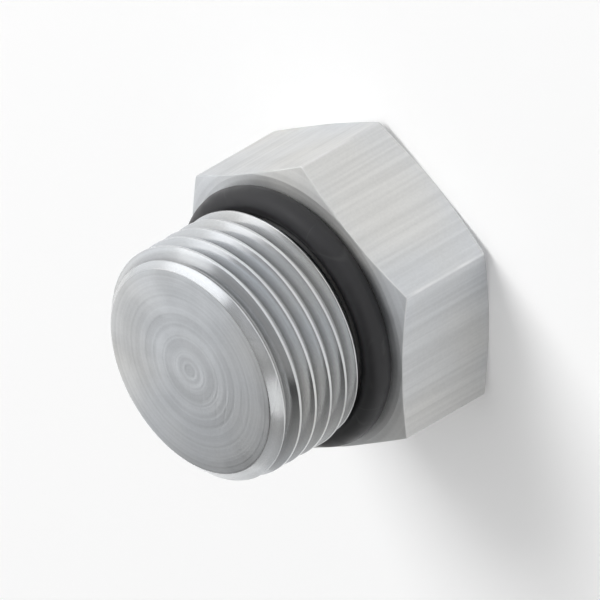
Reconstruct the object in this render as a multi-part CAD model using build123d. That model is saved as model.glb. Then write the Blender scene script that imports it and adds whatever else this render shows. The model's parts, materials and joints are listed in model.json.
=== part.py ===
"""Hex pipe plug for a straight-thread port that seals on a rubber ring.

The plug is one piece, turned from hexagon bar: a hexagon head with its corners chamfered at both
ends, a neck that carries the ring, and a straight unified thread with a chamfered end. The only
other piece is the ring, which is stretched over the neck and rests against the head.

Frame: the plug stands on its head with the thread up. +Z is its axis, the origin is the centre
of the head's outer face, and two flats of the hexagon face +X and -X. Millimetres.
"""
import os
from math import ceil, cos, radians, tan

from build123d import *

# Hexagon head
HEX_ACROSS_FLATS = 22.225  # 7/8 in spanner size
HEAD_HEIGHT = 9.14
HEX_CHAMFER_ANGLE = 15.0  # degrees between the corner chamfer and the end faces
HEX_CHAMFER_INSET = 0.06  # how far the chamfer's circle lies inside the flats

# Straight thread, 3/4-16 UNF, right hand
SHANK_LENGTH = 11.18  # underside of the head to the end of the thread
THREAD_DIAMETER = 19.05
THREAD_PITCH = 25.4 / 16
THREAD_HALF_ANGLE = 30.0  # degrees between a flank and a plane across the axis
CREST_FLAT = THREAD_PITCH / 8
ROOT_FLAT = THREAD_PITCH / 6
FIRST_CREST = 2.11  # end of the thread to the first whole crest, along +X
END_STEP = 0.20  # how far the rim of the end face lies below the thread's root

# Ring, and the relief behind the thread that holds it
RING_SECTION = 2.21
RING_ROOM = 0.89  # length of the relief beyond the ring's section
NECK_STEP = 0.20  # how far the neck lies below the thread's root

# Cutting allowances, which leave no mark on the finished piece
BAR_ALLOWANCE = 1.0  # how far the corner chamfers are drawn beyond the hexagon's corners
CUTTER_CLEARANCE = 0.08  # how far the thread cutter stands out beyond the crests

# Worked out from the sizes above
hex_radius = HEX_ACROSS_FLATS / 2 / cos(radians(30))
face_radius = HEX_ACROSS_FLATS / 2 - HEX_CHAMFER_INSET
bar_radius = hex_radius + BAR_ALLOWANCE
bar_chamfer = (bar_radius - face_radius) * tan(radians(HEX_CHAMFER_ANGLE))
crest_radius = THREAD_DIAMETER / 2
flank_slope = tan(radians(THREAD_HALF_ANGLE))
root_radius = crest_radius - (THREAD_PITCH - CREST_FLAT - ROOT_FLAT) / 2 / flank_slope
neck_radius = root_radius - NECK_STEP
end_radius = root_radius - END_STEP
end_z = HEAD_HEIGHT + SHANK_LENGTH
thread_z = HEAD_HEIGHT + RING_SECTION + RING_ROOM
relief_foot_z = thread_z - (crest_radius - neck_radius)


def turned_blank():
    """All that is turned: corner chamfers, neck, 45 degree relief cone, thread stock, end chamfer."""
    half_section = Polyline(
        (0, 0),
        (face_radius, 0),
        (bar_radius, bar_chamfer),
        (bar_radius, HEAD_HEIGHT - bar_chamfer),
        (face_radius, HEAD_HEIGHT),
        (neck_radius, HEAD_HEIGHT),
        (neck_radius, relief_foot_z),
        (crest_radius, thread_z),
        (crest_radius, end_z - (crest_radius - end_radius)),
        (end_radius, end_z),
        (0, end_z),
        close=True,
    )
    return revolve(Plane.XZ * make_face(half_section), Axis.Z)


def thread_cutter(start_z):
    """One turn of the thread's groove: a flat-rooted vee carried along a helix from +X at start_z."""
    mouth_half = (THREAD_PITCH - CREST_FLAT) / 2 + CUTTER_CLEARANCE * flank_slope
    section = Polyline(
        (root_radius, start_z - ROOT_FLAT / 2),
        (crest_radius + CUTTER_CLEARANCE, start_z - mouth_half),
        (crest_radius + CUTTER_CLEARANCE, start_z + mouth_half),
        (root_radius, start_z + ROOT_FLAT / 2),
        close=True,
    )
    turn = Helix(THREAD_PITCH, THREAD_PITCH, crest_radius, center=(0, 0, start_z))
    return sweep(Plane.XZ * make_face(section), path=turn, is_frenet=True)


def plug_body():
    """Hexagon bar turned to its profile, then threaded turn by turn from the relief to the end."""
    bar = extrude(RegularPolygon(hex_radius, 6, rotation=30), end_z)
    body = bar & turned_blank()
    start_z = relief_foot_z - ROOT_FLAT / 2
    groove_at_x = end_z - FIRST_CREST + THREAD_PITCH / 2
    phase = 360 * (start_z - groove_at_x) / THREAD_PITCH
    cutter = thread_cutter(start_z).rotate(Axis.Z, phase)
    turns = ceil((end_z - start_z) / THREAD_PITCH + 0.5)
    for turn in range(turns):
        body -= Pos(0, 0, turn * THREAD_PITCH) * cutter
    return body


def sealing_ring():
    """Round-section ring that touches the neck all round and rests against the head."""
    half = RING_SECTION / 2
    return Pos(0, 0, HEAD_HEIGHT + half) * Torus(neck_radius + half, half)


os.makedirs("parts", exist_ok=True)
export_step(plug_body(), "parts/plug_body.step")
export_step(sealing_ring(), "parts/sealing_ring.step")
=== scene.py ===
"""Looks of a hex pipe plug: a zinc-plated steel body with a straight thread, and its rubber ring.

The plug stands on its head with the thread up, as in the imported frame. Both pieces are surfaces of
rows and columns: a column is an angle about the plug's axis, and a row is a place along the
profile. All lengths are metres.
"""
import json
import math
from collections import namedtuple

import bmesh
import bpy
import numpy as np
from bpy.props import FloatProperty, FloatVectorProperty, PointerProperty
from mathutils import Matrix, Vector


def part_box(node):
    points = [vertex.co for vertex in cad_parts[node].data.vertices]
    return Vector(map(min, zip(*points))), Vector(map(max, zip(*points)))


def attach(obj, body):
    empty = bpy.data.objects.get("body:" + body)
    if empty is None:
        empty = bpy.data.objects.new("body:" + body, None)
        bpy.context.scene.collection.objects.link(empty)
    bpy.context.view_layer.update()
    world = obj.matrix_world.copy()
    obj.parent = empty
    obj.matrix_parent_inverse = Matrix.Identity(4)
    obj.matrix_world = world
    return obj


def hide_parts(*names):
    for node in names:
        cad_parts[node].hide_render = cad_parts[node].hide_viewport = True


bl_info = {
    "name": "Hex Pipe Plug",
    "version": (1, 0, 0),
    "blender": (4, 5, 0),
    "location": "View3D > Sidebar > Pipe Plug",
    "description": "Builds a zinc-plated hex pipe plug with its sealing ring on a plain stage",
    "category": "Add Mesh",
}

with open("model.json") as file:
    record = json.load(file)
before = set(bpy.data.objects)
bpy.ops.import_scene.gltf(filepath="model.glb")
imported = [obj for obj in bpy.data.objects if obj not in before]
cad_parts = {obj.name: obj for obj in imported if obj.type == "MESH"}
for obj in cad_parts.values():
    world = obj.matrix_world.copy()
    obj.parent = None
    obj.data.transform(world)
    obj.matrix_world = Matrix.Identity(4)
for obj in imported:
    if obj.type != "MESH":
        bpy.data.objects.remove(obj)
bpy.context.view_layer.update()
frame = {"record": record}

MM = 0.001
INCH = 25.4 * MM
THREADS_PER_INCH = 16

# Grid density
EVEN_COLUMNS = 180
CORNER_COLUMNS = 11  # extra columns beside each corner of the hexagon
CORNER_SPREAD = math.radians(0.9)  # how far from the corner those columns lie
ARC_ROWS = 6  # rows on each rounded edge
LARGEST_ARC = 0.45  # share of a side that the arc at either end may take
LONGEST_FACE_STEP = 1.4 * MM
LONGEST_FLANK_STEP = 0.1 * MM
RING_COLUMNS = 192
RING_ROWS = 64
SHEET_POINTS = 13  # points along each side of a stage sheet
BAKE_MAP = "OFBake"
MERGE_DISTANCE = 1e-7

# Shape
SIDES = 6
HALF_FLAT = math.pi / SIDES  # half the angle that one flat of the hexagon takes up
CREST_FLAT = 1 / 8  # width of the thread's flat crests over the pitch
ROOT_FLAT = 1 / 6  # width of its flat roots over the pitch
RIM = 0.1 * MM  # how far under the end face the thread's rows stop
CLEARANCE = 0.001 * MM  # gap between the ring and the steel that it bears on

# Finish of each strip of the body
TURNED = 0
DRAWN = 1
FACED = 2
SHOULDER = 3

# Depth of marks in the surface
TURNING_DEPTH = 0.008 * MM
DRAWING_DEPTH = 0.014 * MM
FACING_DEPTH = 0.016 * MM
SHOULDER_DEPTH = 0.012 * MM
HANDLING_DEPTH = 0.002 * MM
RUBBER_HANDLING_DEPTH = 0.003 * MM
RUBBER_GRAIN_DEPTH = 0.004 * MM

# Marks to the metre, as the scale of their noise
FINE_RINGS = 3300.0
BROAD_RINGS = 1000.0
RING_RISE = 0.6  # share of the height added to the radius, so that rings run up a cylinder too
FINE_LINES = (3000.0, 3000.0, 60.0)
BROAD_LINES = (900.0, 900.0, 30.0)

# Strength of effects in the materials
TINT_SHARE = 0.4  # of the clouds' tint in the plating
WORN_SHARE = 0.6  # of the bright colour on worn edges
WORN_POLISH = 0.06  # roughness taken off worn edges
ROOT_SHADE_SHARE = 0.7  # of the painted shade colour in the thread's roots
SCUFF_SHARE = 0.25  # of the scuff colour in scratches on the ring

# Stage: boards stand about the end of the thread, with angles in degrees
Board = namedtuple("Board", "azimuth elevation distance width height")
BOARDS = {
    "scrim": Board(azimuth=45.0, elevation=85.0, distance=0.35, width=0.50, height=0.50),
    "softbox": Board(azimuth=133.0, elevation=40.0, distance=0.30, width=0.30, height=0.20),
    "flag": Board(azimuth=-78.0, elevation=36.0, distance=0.22, width=0.24, height=0.26),
    "card": Board(azimuth=-115.0, elevation=35.0, distance=0.072, width=0.035, height=0.06),
}
KEY_DIRECTION = (-0.65, 0.75, 0.80)
TOP_DIRECTION = (-0.25, 0.25, 1.0)
VIEW_DIRECTION = (1.0, 1.0, 1.0)
VIEW_DISTANCE = 0.4
NEAREST_SEEN = 0.01
FARTHEST_SEEN = 10.0
WHITE = (1.0, 1.0, 1.0, 1.0)

body_low, body_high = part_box("plug_body")
ring_low, ring_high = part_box("sealing_ring")
mounts = {mount["name"]: mount["dims"] for mount in frame["record"]["mounts"]}
slots = {entry["slot"]: entry for entry in frame["record"]["materials"]}
ring_section = ring_high.z - ring_low.z


def length(name, description, default):
    """Property for a length in metres."""
    return FloatProperty(
        name=name, description=description, default=default, min=0.0, precision=5, unit="LENGTH"
    )


def angle(name, description, degrees):
    """Property for an angle, with its default in degrees."""
    return FloatProperty(
        name=name, description=description, default=math.radians(degrees), subtype="ANGLE"
    )


def share(name, description, default):
    """Property for a plain number that isn't negative."""
    return FloatProperty(name=name, description=description, default=default, min=0.0)


def colour(name, description, default):
    """Property for a linear colour."""
    return FloatVectorProperty(
        name=name, description=description, default=default, min=0.0, max=1.0, subtype="COLOR"
    )


class PlugSizes(bpy.types.PropertyGroup):
    """Sizes of the plug's body."""

    across_flats: length("Across flats", "Width of the hexagon", body_high.x - body_low.x)
    head_height: length("Head height", "Outer face of the head to its underside", ring_low.z)
    overall: length("Overall", "Outer face of the head to the end of the thread", body_high.z)
    face_radius: length(
        "Face radius", "Circle where the corner chamfers begin", mounts["boss_contact"]["r_mm"] * MM
    )
    chamfer_angle: angle("Chamfer angle", "Slope of the corner chamfers against the faces", 15.0)
    crest_radius: length(
        "Crest radius", "Axis to the thread's crests", mounts["port_thread"]["r_mm"] * MM
    )
    thread_length: length(
        "Thread length",
        "Top of the relief cone to the end",
        mounts["port_thread"]["length_mm"] * MM,
    )
    pitch: length("Pitch", "Distance from crest to crest", INCH / THREADS_PER_INCH)
    flank_angle: angle("Flank angle", "Slope of a flank against a plane across the axis", 30.0)
    first_crest: length(
        "First crest", "End of the thread to the first whole crest on +X", 2.11 * MM
    )
    neck_radius: length(
        "Neck radius", "Neck under the ring, and rim of the end", ring_high.x - ring_section
    )
    corner_rounding: length("Corner rounding", "Rounding of the hexagon's six corners", 0.25 * MM)
    edge_rounding: length("Edge rounding", "Rounding of the turned edges", 0.12 * MM)
    crest_rounding: length("Crest rounding", "Rounding beside the thread's crests", 0.05 * MM)
    root_rounding: length("Root rounding", "Rounding beside the thread's roots", 0.11 * MM)


class RingSizes(bpy.types.PropertyGroup):
    """Sizes of the sealing ring."""

    section: length("Section", "Thickness of the ring", ring_section)
    outer_radius: length("Outer radius", "Axis to the ring's outside", ring_high.x)
    seat: length("Seat", "Height of the face that the ring rests on", ring_low.z)
    squeeze: length("Squeeze", "How far the ring is pressed flat where it bears", 0.015 * MM)
    flash_height: length("Flash height", "Height of the mould line round the outside", 0.025 * MM)
    flash_width: length("Flash width", "Half width of the mould line", 0.06 * MM)


class PlugFinish(bpy.types.PropertyGroup):
    """Colours and gloss of the plating and the rubber."""

    zinc: colour("Zinc", "Colour of the plating", (0.66, 0.67, 0.68))
    zinc_cool: colour("Cool tint", "Bluish clouds in the plating", (0.60, 0.64, 0.69))
    zinc_warm: colour("Warm tint", "Yellowish clouds in the plating", (0.69, 0.67, 0.62))
    zinc_worn: colour("Worn edges", "Colour of edges rubbed bright", (0.86, 0.86, 0.86))
    # painted shade in the thread's roots, partly standing for oil and dirt there
    zinc_root_shade: colour("Painted root shade", "Colour of painted shade in the thread's roots", (0.20, 0.20, 0.20))
    zinc_metallic: share("Plating metallic", "Share of the plating's look that is bare metal", 0.94)
    faced_gloss: share("Faced roughness", "Roughness of the faces across the axis", 0.37)
    turned_gloss: share("Turned roughness", "Roughness of the thread and outer chamfers", 0.21)
    drawn_gloss: share("Drawn roughness", "Roughness of the hexagon's flats", 0.34)
    shoulder_gloss: share("Shoulder roughness", "Roughness of the underside and neck", 0.52)
    shoulder_metallic: share("Shoulder metallic", "As plating metallic, for the underside", 0.60)
    rubber: colour("Rubber", "Colour of the ring", slots["nitrile_rubber"]["base_color"])
    rubber_bloom: colour("Rubber bloom", "Colour of the ring's pale patches", (0.035, 0.035, 0.037))
    rubber_scuff: colour("Rubber scuff", "Colour of scratches on the ring", (0.07, 0.07, 0.07))
    rubber_gloss: share("Rubber roughness", "Roughness of the ring", 0.46)
    rubber_shine: share("Rubber shine", "Strength of the ring's reflections", 0.4)


class StageLook(bpy.types.PropertyGroup):
    """Floor, light and view."""

    floor: colour("Floor", "Colour of the floor", (0.86, 0.86, 0.86))
    floor_glow: share("Floor glow", "White added where the floor is seen", 0.17)
    floor_side: length("Floor side", "Side of the square floor", 3.0)
    scrim: share("Scrim", "Brightness of the grey board overhead", 0.34)
    softbox: share("Softbox", "Brightness of the board that makes the highlights", 1.5)
    flag_foot: share("Flag foot", "Brightness of the dark board at its lower edge", 0.60)
    flag_head: share("Flag head", "Brightness of the dark board at its upper edge", 0.02)
    card_foot: share("Card foot", "Brightness of the grey card at its lower edge", 0.30)
    card_head: share("Card head", "Brightness of the grey card at its upper edge", 0.02)
    sky: share("Sky", "Strength of the even light from all round", 0.38)
    key_power: share("Key power", "Watts of the main light", 5.6)
    key_size: length("Key size", "Side of the main light", 0.5)
    top_power: share("Top power", "Watts of the light overhead", 1.3)
    top_size: length("Top size", "Side of the light overhead", 0.5)
    lamp_distance: length("Lamp distance", "Plug to each light", 0.9)
    view_width: length("View width", "Width of the picture", 44.59 * MM)
    aim: FloatVectorProperty(
        name="Aim",
        description="Point in the middle of the picture",
        default=(-0.2875 * MM, 0.449 * MM, 8.5055 * MM),
        subtype="XYZ",
    )


class PipePlug(bpy.types.PropertyGroup):
    """All settings of the plug."""

    sizes: PointerProperty(type=PlugSizes)
    ring: PointerProperty(type=RingSizes)
    finish: PointerProperty(type=PlugFinish)
    stage: PointerProperty(type=StageLook)


# Grids


def unit(vectors):
    """Vectors over their lengths."""
    return vectors / np.linalg.norm(vectors, axis=-1, keepdims=True)


def rounded(corners, radii):
    """Profile of straight sides with an arc at each inner corner, for all columns at once.

    corners is corner by column by (radius, height). An arc is the rational quadratic curve whose
    middle control point is the corner and whose weight is the cosine of half the turn. Its ends lie
    on the sides, radius times the tangent of half the turn from the corner, and never past the
    middle of a side. A third channel is the wear: it rises to 1 midway round an outer edge.
    """
    before = corners[:-2] - corners[1:-1]
    after = corners[2:] - corners[1:-1]
    shortest = np.minimum(np.linalg.norm(before, axis=-1), np.linalg.norm(after, axis=-1))
    before, after = unit(before), unit(after)
    half_turn = np.arccos(np.clip(-(before * after).sum(-1), -1.0, 1.0)) / 2
    reach = np.minimum(np.asarray(radii)[:, None] * np.tan(half_turn), LARGEST_ARC * shortest)
    outer = before[..., 1] * after[..., 0] - before[..., 0] * after[..., 1] > 0
    part = np.linspace(0.0, 1.0, ARC_ROWS)[:, None]
    middle = 2 * part * (1 - part) * np.cos(half_turn)[:, None]
    first = np.broadcast_to((1 - part) ** 2, middle.shape)
    last = np.broadcast_to(part**2, middle.shape)
    weights = np.stack([first, middle, last], -1)
    weights = weights / weights.sum(-1, keepdims=True)
    starts = corners[1:-1] + before * reach[..., None]
    ends = corners[1:-1] + after * reach[..., None]
    controls = np.stack([starts, corners[1:-1], ends], -2)
    arcs = np.einsum("csmk,cmkx->csmx", weights, controls)
    wear = np.sin(np.pi * part) * outer[:, None]
    arcs = np.concatenate([arcs, wear[..., None]], -1).reshape(-1, corners.shape[1], 3)
    plain = np.concatenate([corners[[0, -1]], np.zeros_like(corners[[0, -1], :, :1])], -1)
    return np.concatenate([plain[:1], arcs, plain[1:]])


def refined(rows, longest):
    """Rows with even steps put in wherever two rows lie further apart than longest."""
    gaps = np.linalg.norm(np.diff(rows[..., :2], axis=0), axis=-1).max(axis=1)
    counts = np.maximum(np.ceil(gaps / longest), 1).astype(int)
    low = np.repeat(np.arange(len(counts)), counts)
    within = np.arange(counts.sum()) - np.repeat(np.cumsum(counts) - counts, counts)
    part = (within / counts[low])[:, None, None]
    return np.concatenate([rows[low] * (1 - part) + rows[low + 1] * part, rows[-1:]])


def column_angles():
    """Angles of the columns: an even ring, with more beside each corner, closed on itself."""
    even = np.arange(EVEN_COLUMNS) * 2 * np.pi / EVEN_COLUMNS
    corners = HALF_FLAT * (1 + 2 * np.arange(SIDES))
    beside = corners[:, None] + CORNER_SPREAD * np.linspace(-1, 1, CORNER_COLUMNS)
    angles = np.unique(np.round(np.concatenate([even, beside.ravel()]), decimals=7))
    return np.append(angles, angles[0] + 2 * np.pi)


def hexagon(angles, sizes):
    """(radius of the hexagon's outline, wear of its corners) at each angle.

    On a flat, the radius is half the width over the cosine of the angle from the flat's middle.
    Beside a corner it is the far side of a circle of the corner rounding that touches both flats.
    """
    apothem = sizes.across_flats / 2
    off = np.mod(angles, 2 * HALF_FLAT) - HALF_FLAT
    flat = apothem / np.cos(HALF_FLAT - np.abs(off))
    rounding = sizes.corner_rounding
    centre = (apothem - rounding) / np.cos(HALF_FLAT)
    arc = centre * np.cos(off) + np.sqrt(np.maximum(rounding**2 - (centre * np.sin(off)) ** 2, 0))
    reach = np.arctan2(rounding * np.sin(HALF_FLAT), centre + rounding * np.cos(HALF_FLAT))
    return np.where(np.abs(off) < reach, arc, flat), np.exp(-((off / reach) ** 2))


def head_rows(angles, sizes, foot):
    """Blocks of rows from the middle of the head's outer face to the foot of the relief cone.

    Face, corner chamfer, flat, corner chamfer, underside and neck, with every edge rounded. A
    chamfer's height at a column is the hexagon's radius less the face's, times its slope.
    """
    side, corner_wear = hexagon(angles, sizes)
    chamfer = (side - sizes.face_radius) * math.tan(sizes.chamfer_angle)
    top = sizes.head_height
    profile = [
        (0.0, 0.0),
        (sizes.face_radius, 0.0),
        (side, chamfer),
        (side, top - chamfer),
        (sizes.face_radius, top),
        (sizes.neck_radius, top),
        (sizes.neck_radius, foot),
    ]
    corners = np.stack([np.stack(np.broadcast_arrays(r, z, side)[:2], -1) for r, z in profile])
    edge = sizes.edge_rounding
    rows = rounded(corners, [2 * edge, edge, edge, 2 * edge, edge])
    last_lower = 2 * ARC_ROWS
    flat = refined(rows[last_lower:last_lower + 2], LONGEST_FACE_STEP)
    flat[..., 2] = np.maximum(flat[..., 2], corner_wear)
    lower = refined(rows[:last_lower + 1], LONGEST_FACE_STEP)
    upper = refined(rows[last_lower + 1:], LONGEST_FACE_STEP)
    return lower, flat, upper


def smooth_lower(a, b, width):
    """The lower of two values, rounded off where they differ by less than width."""
    return np.minimum(a, b) - np.maximum(width - np.abs(a - b), 0) ** 2 / (4 * width)


def thread_rows(angles, sizes, foot, end):
    """Rows of the thread, from the foot of the relief cone to just under the end face.

    One pitch of the profile, crest to crest, is repeated turn by turn and lifted by the pitch times
    the angle over a full turn. Heights are held between foot and end, so the turns that run out
    there close on a circle, and radii are lowered to the relief cone and the end chamfer, both at
    45 degrees. The wear channel falls from 0 to -1 in the roots, by the square of the depth, as
    painted shade there, partly standing for oil and dirt.
    """
    pitch = sizes.pitch
    crest_half, root_half = pitch * CREST_FLAT / 2, pitch * ROOT_FLAT / 2
    root = sizes.crest_radius - (pitch / 2 - crest_half - root_half) / math.tan(sizes.flank_angle)
    outline = [
        (sizes.crest_radius, -pitch / 2),
        (sizes.crest_radius, crest_half - pitch / 2),
        (root, -root_half),
        (root, root_half),
        (sizes.crest_radius, pitch / 2 - crest_half),
        (sizes.crest_radius, pitch / 2),
    ]
    crest, hollow = sizes.crest_rounding, sizes.root_rounding
    profile = rounded(np.array(outline)[:, None], [crest, hollow, hollow, crest])
    one = refined(profile, LONGEST_FLANK_STEP)
    groove = sizes.overall - sizes.first_crest + pitch / 2
    first_turn = math.floor((foot[1] - groove) / pitch - 0.5)
    last_turn = math.ceil((end[1] - groove) / pitch - 0.5)
    turns = np.arange(first_turn, last_turn + 1)
    level = (one[:, 0, 1] + pitch * turns[:, None]).reshape(-1, 1) + groove
    height = np.clip(level + pitch * angles / (2 * np.pi), foot[1], end[1])
    threaded = np.tile(one[:, 0, 0], len(turns))[:, None]
    cone = np.minimum(foot[0] + height - foot[1], end[0] + end[1] - height)
    radius = smooth_lower(threaded, cone, sizes.crest_rounding)
    meeting = np.clip(1 - np.abs(threaded - cone) / sizes.crest_rounding, 0, 1)
    wear = np.tile(one[:, 0, 2], len(turns))[:, None] * (threaded <= cone)
    depth = (sizes.crest_radius - threaded) / (sizes.crest_radius - root)
    # painted shade in the thread's roots, partly standing for oil and dirt, darkest at the bottom of
    # each root and kept off where the thread meets the cones
    root_shade = depth**2 * (threaded <= cone) * (1 - meeting)
    return np.stack([radius, height, np.maximum(wear, meeting) - root_shade], -1)


def end_rows(angles, sizes):
    """Rows from the last of the end chamfer over its rounded rim to the middle of the end face."""
    profile = [
        (sizes.neck_radius + RIM, sizes.overall - RIM),
        (sizes.neck_radius, sizes.overall),
        (0.0, sizes.overall),
    ]
    corners = np.repeat(np.array(profile)[:, None], len(angles), axis=1)
    return refined(rounded(corners, [sizes.edge_rounding]), LONGEST_FACE_STEP)


def body_rows(angles, sizes):
    """(rows of the whole body, finish of each strip between two rows), from head to end.

    A strip that doesn't rise is faced, apart from those under the head, which are the shoulder's.
    """
    thread_top = sizes.overall - sizes.thread_length
    foot = (sizes.neck_radius, thread_top - (sizes.crest_radius - sizes.neck_radius))
    end = (sizes.neck_radius + RIM, sizes.overall - RIM)
    blocks = [
        *head_rows(angles, sizes, foot[1]),
        thread_rows(angles, sizes, foot, end),
        end_rows(angles, sizes),
    ]
    rows = np.concatenate(blocks)
    counts = [len(block) for block in blocks]
    finishes = np.repeat([TURNED, DRAWN, SHOULDER, TURNED, TURNED], counts)[:-1]
    rises = np.abs(np.diff(rows[..., 1], axis=0)).max(axis=1)
    finishes[(rises < MERGE_DISTANCE) & (finishes == TURNED)] = FACED
    return rows, finishes


def ring_profile(turn, ring):
    """(radius, height) of the ring's section at each angle round it, from inside out and back.

    A circle larger than the section by the squeeze, with a bell-shaped mould line on the outside.
    It is held just clear of the neck and the seat, which leaves it flat where it bears on them.
    """
    thick = ring.section / 2
    flash = ring.flash_height * np.exp(-((turn * thick / ring.flash_width) ** 2))
    reach = thick + ring.squeeze + flash
    radius = ring.outer_radius - thick + reach * np.cos(turn)
    height = ring.seat + thick + reach * np.sin(turn)
    inside = ring.outer_radius - ring.section + CLEARANCE
    underside = ring.seat + CLEARANCE
    return np.stack([np.maximum(radius, inside), np.maximum(height, underside)], -1)


def around_axis(rows, angles):
    """Points of rows of (radius, height) turned about the Z axis by their columns' angles."""
    radius, height = rows[..., 0], rows[..., 1]
    return np.stack([radius * np.cos(angles), radius * np.sin(angles), height], -1)


def grid_quads(rows, columns):
    """Corner numbers of the quads of a grid of points, row by row."""
    index = np.arange(rows * columns).reshape(rows, columns)
    quads = np.stack([index[:-1, :-1], index[:-1, 1:], index[1:, 1:], index[1:, :-1]], -1)
    return quads.reshape(-1, 4)


def grid_mesh(name, points, wear, finishes, places):
    """Closed mesh of a grid of points, with its seam, its poles and its run-out turns merged.

    wear is a value for each point, above 0 for wear and below 0 for painted shade in the thread's
    roots, finishes a material number for each strip between two rows, and places the row and
    column coordinates of the bake map, both from 0 to 1.
    """
    rows, columns = points.shape[:2]
    quads = grid_quads(rows, columns)
    mesh = bpy.data.meshes.new(name)
    mesh.from_pydata(points.reshape(-1, 3), [], quads)
    # the wear attribute holds wear above 0 and painted shade in the thread's roots below 0
    worn = mesh.attributes.new("wear", "FLOAT", "POINT")
    worn.data.foreach_set("value", wear.astype(np.float32).ravel())
    mesh.polygons.foreach_set("material_index", np.repeat(finishes, columns - 1).astype(np.int32))
    across, along = np.meshgrid(places[1], places[0])
    spots = np.stack([across, along], -1).reshape(-1, 2)[quads.reshape(-1)]
    mesh.uv_layers.new(name=BAKE_MAP).uv.foreach_set("vector", spots.astype(np.float32).ravel())
    work = bmesh.new()
    work.from_mesh(mesh)
    bmesh.ops.remove_doubles(work, verts=work.verts, dist=MERGE_DISTANCE)
    work.to_mesh(mesh)
    work.free()
    mesh.shade_smooth()
    return mesh


def add_piece(name, mesh, materials, node):
    """Object for a finished mesh that stands for a node of the frame."""
    for material in materials:
        mesh.materials.append(material)
    piece = bpy.data.objects.new(name, mesh)
    bpy.context.scene.collection.objects.link(piece)
    normals = piece.modifiers.new("even_normals", "WEIGHTED_NORMAL")
    normals.mode = "FACE_AREA"
    normals.keep_sharp = False
    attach(piece, "root")
    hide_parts(node)
    return piece


# Materials


class Nodes:
    """Adds nodes to one shader tree. An input that is a socket is linked, and a value is set."""

    def __init__(self, tree):
        self.tree = tree
        tree.nodes.clear()

    def add(self, kind, inputs=None, **settings):
        """Node of a kind, with its settings and its inputs by name or number."""
        node = self.tree.nodes.new("ShaderNode" + kind)
        for name, value in settings.items():
            setattr(node, name, value)
        for name, value in (inputs or {}).items():
            if isinstance(value, bpy.types.NodeSocket):
                self.tree.links.new(value, node.inputs[name])
            else:
                node.inputs[name].default_value = value
        return node

    def math(self, operation, a, b=0.0):
        """Result of an operation on one or two values."""
        return self.add("Math", {0: a, 1: b}, operation=operation).outputs[0]

    def mean(self, a, b):
        """Mean of two values."""
        return self.math("MULTIPLY", self.math("ADD", a, b), 0.5)

    def noise(self, vector, scale, detail):
        """Smooth noise in space, about 0 to 1."""
        inputs = {"Vector": vector, "Scale": scale, "Detail": detail}
        return self.add("TexNoise", inputs).outputs["Fac"]

    def lines(self, place, detail):
        """Smooth noise along one value, about 0 to 1."""
        inputs = {"W": place, "Scale": 1.0, "Detail": detail}
        return self.add("TexNoise", inputs, noise_dimensions="1D").outputs["Fac"]

    def ramp(self, value, low, high, to_low=0.0, to_high=1.0):
        """Smooth step from to_low to to_high as value goes from low to high."""
        ends = {"From Min": low, "From Max": high, "To Min": to_low, "To Max": to_high}
        node = self.add("MapRange", {"Value": value, **ends}, interpolation_type="SMOOTHSTEP")
        return node.outputs["Result"]

    def mix(self, factor, a, b, blend="MIX"):
        """Blend of two colours."""
        node = self.add("Mix", {0: factor, 6: a, 7: b}, data_type="RGBA", blend_type=blend)
        return node.outputs[2]

    def grey(self, value):
        """Grey colour of a value."""
        return self.add("CombineColor", {0: value, 1: value, 2: value}).outputs[0]

    def stretched(self, vector, scale):
        """Coordinates times a scale along each axis."""
        return self.add("Mapping", {"Vector": vector, "Scale": scale}).outputs["Vector"]

    def bump(self, height, distance, normal=None):
        """Normal of a surface with this height, on top of an earlier normal if one is given."""
        inputs = {"Height": height, "Distance": distance, "Strength": 1.0}
        if normal:
            inputs["Normal"] = normal
        return self.add("Bump", inputs).outputs["Normal"]


def new_group(name, inputs, outputs):
    """Empty shader node group: (its tree, its nodes, its inputs by name, its output node)."""
    tree = bpy.data.node_groups.new(name, "ShaderNodeTree")
    nodes = Nodes(tree)
    for socket, kind in inputs.items():
        tree.interface.new_socket(socket, in_out="INPUT", socket_type="NodeSocket" + kind)
    for socket, kind in outputs.items():
        tree.interface.new_socket(socket, in_out="OUTPUT", socket_type="NodeSocket" + kind)
    source = tree.nodes.new("NodeGroupInput")
    return tree, nodes, source.outputs, tree.nodes.new("NodeGroupOutput")


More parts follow.
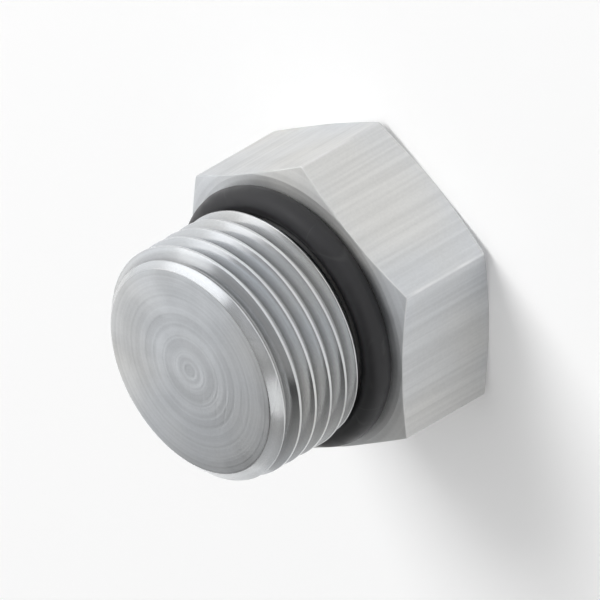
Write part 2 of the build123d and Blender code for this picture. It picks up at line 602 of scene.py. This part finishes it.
def plating_group():
    """Zinc plate: clouds of two tints, haze in patches, tool marks as painted shade and highlight.

    Its wear and shade input is above 0 on edges that are rubbed bright. Below 0, in the thread's
    roots, it darkens the plate as painted shade, partly standing for oil and dirt there.
    """
    tree, nodes, given, result = new_group(
        "zinc_plate",
        {
            "Position": "Vector",
            "Zinc": "Color",
            "Cool": "Color",
            "Warm": "Color",
            "Worn": "Color",
            "Root shade": "Color",
            "Gloss": "Float",
            "Marks": "Float",
            "Wear and shade": "Float",
        },
        {"Colour": "Color", "Roughness": "Float"},
    )
    clouds = nodes.noise(given["Position"], scale=75.0, detail=2.0)
    patches = nodes.noise(given["Position"], scale=330.0, detail=2.0)
    grain = nodes.noise(given["Position"], scale=5000.0, detail=1.0)
    tint = nodes.mix(nodes.ramp(clouds, low=0.30, high=0.70), given["Cool"], given["Warm"])
    tinted = nodes.mix(TINT_SHARE, given["Zinc"], tint)
    # painted shade and highlight of the tool marks: the colour runs from 0.90 to 1.04 times across
    # the rings and lines, standing for their fine shadows and reflections
    mark_shade = nodes.ramp(given["Marks"], low=0.3, high=0.7, to_low=0.90, to_high=1.04)
    grainy = nodes.ramp(grain, low=0.25, high=0.75, to_low=-0.02, to_high=0.02)
    shaded = nodes.mix(1.0, tinted, nodes.grey(nodes.math("ADD", mark_shade, grainy)), "MULTIPLY")
    rubbed = nodes.math("MAXIMUM", given["Wear and shade"], 0.0)
    worn = nodes.math("MULTIPLY", nodes.ramp(patches, low=0.35, high=0.65), rubbed)
    # painted shade in the thread's roots, from the part of the wear and shade input below 0
    root_shade = nodes.math("MAXIMUM", nodes.math("MULTIPLY", given["Wear and shade"], -1.0), 0.0)
    root_shaded = nodes.mix(nodes.math("MULTIPLY", root_shade, ROOT_SHADE_SHARE), shaded, given["Root shade"])
    bright = nodes.mix(nodes.math("MULTIPLY", worn, WORN_SHARE), root_shaded, given["Worn"])
    haze = nodes.ramp(patches, low=0.35, high=0.7, to_low=0.85, to_high=1.2)
    hazed = nodes.math("MULTIPLY", haze, given["Gloss"])
    rough = nodes.math("SUBTRACT", hazed, nodes.math("MULTIPLY", worn, WORN_POLISH))
    tree.links.new(bright, result.inputs["Colour"])
    tree.links.new(rough, result.inputs["Roughness"])
    return tree


def handling_group():
    """Marks of handling, as a height: hairline scratches in two directions and a few small dents.

    A hairline is the level line of a smooth noise at one half, kept where a second noise is high.
    """
    tree, nodes, given, result = new_group(
        "handling_marks", {"Position": "Vector"}, {"Height": "Float", "Mask": "Float"}
    )

    def hairlines(stretch, spacing):
        wander = nodes.noise(nodes.stretched(given["Position"], stretch), scale=1.0, detail=0.0)
        off = nodes.math("ABSOLUTE", nodes.math("SUBTRACT", wander, 0.5))
        line = nodes.ramp(off, low=0.0, high=0.02, to_low=1.0, to_high=0.0)
        place = nodes.noise(given["Position"], scale=spacing, detail=0.0)
        return nodes.math("MULTIPLY", line, nodes.ramp(place, low=0.56, high=0.64))

    across = hairlines(stretch=(90.0, 420.0, 200.0), spacing=310.0)
    slant = hairlines(stretch=(380.0, 110.0, 150.0), spacing=270.0)
    scratches = nodes.math("MAXIMUM", across, slant)
    spots = nodes.noise(given["Position"], scale=1100.0, detail=0.0)
    depth = nodes.math("ADD", scratches, nodes.ramp(spots, low=0.80, high=0.90))
    tree.links.new(nodes.math("MULTIPLY", depth, -1.0), result.inputs["Height"])
    tree.links.new(scratches, result.inputs["Mask"])
    return tree


def shared_groups():
    """The two node groups that the materials share, made once."""
    known = bpy.data.node_groups
    return {
        "plate": known.get("zinc_plate") or plating_group(),
        "handling": known.get("handling_marks") or handling_group(),
    }


def new_material(name):
    """Material with an empty tree: (material, its nodes)."""
    material = bpy.data.materials.new(name)
    material.use_nodes = True
    return material, Nodes(material.node_tree)


def output(nodes, kind, inputs):
    """Shader of a kind with its inputs, as the surface of the material."""
    shader = nodes.add(kind, inputs)
    nodes.add("OutputMaterial", {"Surface": shader.outputs[0]})


def opaque(colour_value):
    """Colour with full alpha, as sockets take it."""
    return (*colour_value, 1.0)


def turning_marks(nodes, place):
    """Rings of a turning tool: noise at two spacings along the radius plus part of the height."""
    parts = nodes.add("SeparateXYZ", {"Vector": place}).outputs
    flat = nodes.add("CombineXYZ", {"X": parts["X"], "Y": parts["Y"]}).outputs[0]
    radius = nodes.add("VectorMath", {0: flat}, operation="LENGTH").outputs["Value"]
    along = nodes.math("ADD", radius, nodes.math("MULTIPLY", parts["Z"], RING_RISE))
    fine = nodes.lines(nodes.math("MULTIPLY", along, FINE_RINGS), detail=1.0)
    broad = nodes.lines(nodes.math("MULTIPLY", along, BROAD_RINGS), detail=1.0)
    return nodes.mean(fine, broad)


def drawing_lines(nodes, place):
    """Lengthwise lines of drawn bar: noise, fine across the flats and long along the axis."""
    fine = nodes.noise(nodes.stretched(place, FINE_LINES), scale=1.0, detail=1.0)
    broad = nodes.noise(nodes.stretched(place, BROAD_LINES), scale=1.0, detail=2.0)
    return nodes.mean(fine, broad)


def zinc_material(name, finish, gloss, metallic, marks, mark_depth):
    """Bright zinc plate over a machined surface. marks gives the height of the tool's marks.

    The clear film over the plate scatters a little light, so the plate isn't fully metallic, and
    less so where the plate is thin and dull, as it is in the sheltered corner under the head.
    """
    material, nodes = new_material(name)
    groups = shared_groups()
    place = nodes.add("TexCoord").outputs["Object"]
    height = marks(nodes, place)
    surface = {
        "Position": place,
        "Zinc": opaque(finish.zinc),
        "Cool": opaque(finish.zinc_cool),
        "Warm": opaque(finish.zinc_warm),
        "Worn": opaque(finish.zinc_worn),
        # colour of the painted shade in the thread's roots
        "Root shade": opaque(finish.zinc_root_shade),
        "Gloss": gloss,
        "Marks": height,
        # wear above 0, and painted shade in the thread's roots below 0
        "Wear and shade": nodes.add("Attribute", attribute_name="wear").outputs["Fac"],
    }
    plate = nodes.add("Group", surface, node_tree=groups["plate"])
    handling = nodes.add("Group", {"Position": place}, node_tree=groups["handling"])
    machined = nodes.bump(height, mark_depth)
    looks = {
        "Base Color": plate.outputs["Colour"],
        "Roughness": plate.outputs["Roughness"],
        "Metallic": metallic,
        "Normal": nodes.bump(handling.outputs["Height"], HANDLING_DEPTH, machined),
    }
    output(nodes, "BsdfPrincipled", looks)
    return material


def rubber_material(finish):
    """Black moulded rubber: a satin skin with fine grain, slight bloom and a few scratches."""
    material, nodes = new_material("nitrile_rubber")
    place = nodes.add("TexCoord").outputs["Object"]
    handling = nodes.add("Group", {"Position": place}, node_tree=shared_groups()["handling"])
    bloom = nodes.noise(place, scale=700.0, detail=4.0)
    grain = nodes.noise(place, scale=14000.0, detail=2.0)
    bloomed = nodes.ramp(bloom, low=0.45, high=0.75, to_low=0.0, to_high=0.4)
    shade = nodes.mix(bloomed, opaque(finish.rubber), opaque(finish.rubber_bloom))
    scuffed = nodes.math("MULTIPLY", handling.outputs["Mask"], SCUFF_SHARE)
    haze = nodes.ramp(bloom, low=0.35, high=0.7, to_low=0.85, to_high=1.2)
    skin = nodes.bump(grain, RUBBER_GRAIN_DEPTH)
    looks = {
        "Base Color": nodes.mix(scuffed, shade, opaque(finish.rubber_scuff)),
        "Roughness": nodes.math("MULTIPLY", haze, finish.rubber_gloss),
        "Specular IOR Level": finish.rubber_shine,
        "Normal": nodes.bump(handling.outputs["Height"], RUBBER_HANDLING_DEPTH, skin),
    }
    output(nodes, "BsdfPrincipled", looks)
    return material


def seen_directly(nodes):
    """1 for camera, glossy and transmission rays, which show the background, and 0 for the rest."""
    path = nodes.add("LightPath").outputs
    either = nodes.math("MAXIMUM", path["Is Camera Ray"], path["Is Glossy Ray"])
    return nodes.math("MAXIMUM", either, path["Is Transmission Ray"])


def floor_material(stage):
    """Pale floor that keeps shadows and is lifted to white where it is seen."""
    material, nodes = new_material("pale_floor")
    speckle = nodes.noise(nodes.add("TexCoord").outputs["Object"], scale=900.0, detail=2.0)
    looks = {
        "Base Color": opaque(stage.floor),
        "Roughness": nodes.ramp(speckle, low=0.3, high=0.7, to_low=0.85, to_high=1.0),
        "Specular IOR Level": 0.0,
        "Emission Color": WHITE,
        "Emission Strength": nodes.math("MULTIPLY", seen_directly(nodes), stage.floor_glow),
    }
    output(nodes, "BsdfPrincipled", looks)
    return material


def board_material(name, levels, heights):
    """Brightness of a board, from one level at its foot to another at its head. 1 is white."""
    material, nodes = new_material(name)
    place = nodes.add("TexCoord").outputs["Object"]
    height = nodes.add("SeparateXYZ", {"Vector": place}).outputs["Z"]
    output(nodes, "Emission", {"Strength": nodes.ramp(height, *heights, *levels)})
    return material


# Stage


def add_sheet(name, centre, width, height, material):
    """Flat stage piece: centre plus up to half the width and height vectors either way."""
    half = np.linspace(-0.5, 0.5, SHEET_POINTS)
    across, along = np.meshgrid(half, half)
    middle, wide, tall = np.array([centre, width, height])
    points = middle + across[..., None] * wide + along[..., None] * tall
    mesh = bpy.data.meshes.new(name)
    mesh.from_pydata(points.reshape(-1, 3), [], grid_quads(SHEET_POINTS, SHEET_POINTS))
    mesh.materials.append(material)
    sheet = bpy.data.objects.new(name, mesh)
    bpy.context.scene.collection.objects.link(sheet)
    return sheet


def add_board(name, board, levels, target):
    """Board that faces target from its direction and shows only in glossy reflections."""
    turn, lift = math.radians(board.azimuth), math.radians(board.elevation)
    across = Vector((-math.sin(turn), math.cos(turn), 0.0))
    outward = Vector((math.cos(turn), math.sin(turn), 0.0))
    away = outward * math.cos(lift) + Vector((0.0, 0.0, math.sin(lift)))
    centre = target + away * board.distance
    rise = away.cross(across) * board.height
    heights = (centre.z - rise.z / 2, centre.z + rise.z / 2)
    material = board_material(name, levels, heights)
    sheet = add_sheet(name, centre, across * board.width, rise, material)
    sheet.visible_camera = False
    sheet.visible_diffuse = False
    sheet.visible_shadow = False


def add_light(name, power, size, direction, distance, aim):
    """Square soft light that faces aim from a direction. Metal shows the boards in its place."""
    lamp = bpy.data.lights.new(name, "AREA")
    lamp.energy = power
    lamp.size = size
    light = bpy.data.objects.new(name, lamp)
    away = Vector(direction).normalized()
    light.location = aim + away * distance
    light.rotation_euler = away.to_track_quat("Z", "Y").to_euler()
    light.visible_glossy = False
    bpy.context.scene.collection.objects.link(light)


# Operators


class PIPE_PLUG_OT_body(bpy.types.Operator):
    """Build the plug's body: hexagon head, neck and thread in one turned piece"""

    bl_idname = "pipe_plug.body"
    bl_label = "Plug Body"

    def execute(self, context):
        settings = context.scene.pipe_plug
        angles = column_angles()
        rows, finishes = body_rows(angles, settings.sizes)
        steps = np.linalg.norm(np.diff(rows[..., :2], axis=0), axis=-1).max(axis=1)
        along = np.append(0.0, np.cumsum(steps)) / steps.sum()
        around = (angles - angles[0]) / (2 * np.pi)
        mesh = grid_mesh("plug", around_axis(rows, angles), rows[..., 2], finishes, (along, around))
        add_piece("plug", mesh, self.materials(settings.finish), "plug_body")
        return {"FINISHED"}

    def materials(self, finish):
        """Plated materials, in the order of the finishes' numbers."""
        bright, dull = finish.zinc_metallic, finish.shoulder_metallic
        looks = {
            "turned_zinc": (finish.turned_gloss, bright, turning_marks, TURNING_DEPTH),
            "drawn_zinc": (finish.drawn_gloss, bright, drawing_lines, DRAWING_DEPTH),
            "faced_zinc": (finish.faced_gloss, bright, turning_marks, FACING_DEPTH),
            "shoulder_zinc": (finish.shoulder_gloss, dull, turning_marks, SHOULDER_DEPTH),
        }
        return [zinc_material(name, finish, *look) for name, look in looks.items()]


class PIPE_PLUG_OT_ring(bpy.types.Operator):
    """Build the rubber ring: a circle carried round the neck, with its mould line and flats"""

    bl_idname = "pipe_plug.ring"
    bl_label = "Sealing Ring"

    def execute(self, context):
        settings = context.scene.pipe_plug
        angles = np.linspace(0, 2 * np.pi, RING_COLUMNS + 1)
        turn = np.linspace(-np.pi, np.pi, RING_ROWS + 1)
        rows = np.repeat(ring_profile(turn, settings.ring)[:, None], len(angles), axis=1)
        places = ((turn + np.pi) / (2 * np.pi), angles / (2 * np.pi))
        no_wear = np.zeros(rows.shape[:2])
        one_finish = np.zeros(RING_ROWS)
        mesh = grid_mesh("ring", around_axis(rows, angles), no_wear, one_finish, places)
        material = rubber_material(settings.finish)
        add_piece("ring", mesh, [material], "sealing_ring")
        return {"FINISHED"}


class PIPE_PLUG_OT_stage(bpy.types.Operator):
    """Set the stage: pale floor, soft light and the camera"""

    bl_idname = "pipe_plug.stage"
    bl_label = "Stage"

    def execute(self, context):
        scene = context.scene
        stage = scene.pipe_plug.stage
        aim = Vector(stage.aim)
        self.lay_floor(stage)
        self.stand_boards(stage, Vector((0.0, 0.0, scene.pipe_plug.sizes.overall)))
        self.light(scene, stage, aim)
        self.place_camera(scene, stage, aim)
        scene.view_settings.view_transform = "Standard"
        return {"FINISHED"}

    def lay_floor(self, stage):
        """Square floor under the plug."""
        across, along = Vector((1.0, 0.0, 0.0)), Vector((0.0, 1.0, 0.0))
        side = stage.floor_side
        add_sheet("floor", Vector(), across * side, along * side, floor_material(stage))

    def stand_boards(self, stage, tip):
        """Boards of white, grey and black that give the metal its shape."""
        levels = {
            "scrim": (stage.scrim, stage.scrim),
            "softbox": (stage.softbox, stage.softbox),
            "flag": (stage.flag_foot, stage.flag_head),
            "card": (stage.card_foot, stage.card_head),
        }
        for name, board in BOARDS.items():
            add_board(name, board, levels[name], tip)

    def light(self, scene, stage, aim):
        """Even sky, a key light from the side opposite the dark board and a light overhead."""
        world = bpy.data.worlds.new("studio")
        world.use_nodes = True
        scene.world = world
        nodes = Nodes(world.node_tree)
        seen = seen_directly(nodes)
        strength = nodes.ramp(seen, low=0.0, high=1.0, to_low=stage.sky, to_high=1.0)
        sky = nodes.add("Background", {"Color": WHITE, "Strength": strength})
        nodes.add("OutputWorld", {"Surface": sky.outputs[0]})
        add_light("key", stage.key_power, stage.key_size, KEY_DIRECTION, stage.lamp_distance, aim)
        add_light("top", stage.top_power, stage.top_size, TOP_DIRECTION, stage.lamp_distance, aim)

    def place_camera(self, scene, stage, aim):
        """Parallel view along the diagonal of the axes, with +Y upright in the picture."""
        away = Vector(VIEW_DIRECTION).normalized()
        right = Vector((0.0, 1.0, 0.0)).cross(away).normalized()
        lens = bpy.data.cameras.new("view")
        lens.type = "ORTHO"
        lens.ortho_scale = stage.view_width
        lens.clip_start = NEAREST_SEEN
        lens.clip_end = FARTHEST_SEEN
        camera = bpy.data.objects.new("view", lens)
        turned = Matrix((right, away.cross(right), away)).transposed()
        camera.matrix_world = Matrix.Translation(aim + away * VIEW_DISTANCE) @ turned.to_4x4()
        scene.collection.objects.link(camera)
        scene.camera = camera


class PIPE_PLUG_PT_panel(bpy.types.Panel):
    """Lists the pieces and their settings"""

    bl_idname = "PIPE_PLUG_PT_panel"
    bl_label = "Pipe Plug"
    bl_space_type = "VIEW_3D"
    bl_region_type = "UI"
    bl_category = "Pipe Plug"

    def draw(self, context):
        settings = context.scene.pipe_plug
        groups = {
            PIPE_PLUG_OT_body: (settings.sizes, settings.finish),
            PIPE_PLUG_OT_ring: (settings.ring,),
            PIPE_PLUG_OT_stage: (settings.stage,),
        }
        for operator, owners in groups.items():
            box = self.layout.box()
            box.operator(operator.bl_idname)
            for owner in owners:
                for name in owner.__annotations__:
                    box.prop(owner, name)


CLASSES = (
    PlugSizes,
    RingSizes,
    PlugFinish,
    StageLook,
    PipePlug,
    PIPE_PLUG_OT_body,
    PIPE_PLUG_OT_ring,
    PIPE_PLUG_OT_stage,
    PIPE_PLUG_PT_panel,
)


def register():
    """Make the classes known to Blender and give each scene its settings."""
    for cls in CLASSES:
        bpy.utils.register_class(cls)
    bpy.types.Scene.pipe_plug = PointerProperty(type=PipePlug)


def unregister():
    """Undo register."""
    del bpy.types.Scene.pipe_plug
    for cls in reversed(CLASSES):
        bpy.utils.unregister_class(cls)


def main():
    """Build the pieces and the stage."""
    register()
    bpy.ops.pipe_plug.body()
    bpy.ops.pipe_plug.ring()
    bpy.ops.pipe_plug.stage()


if __name__ == "__main__":
    main()
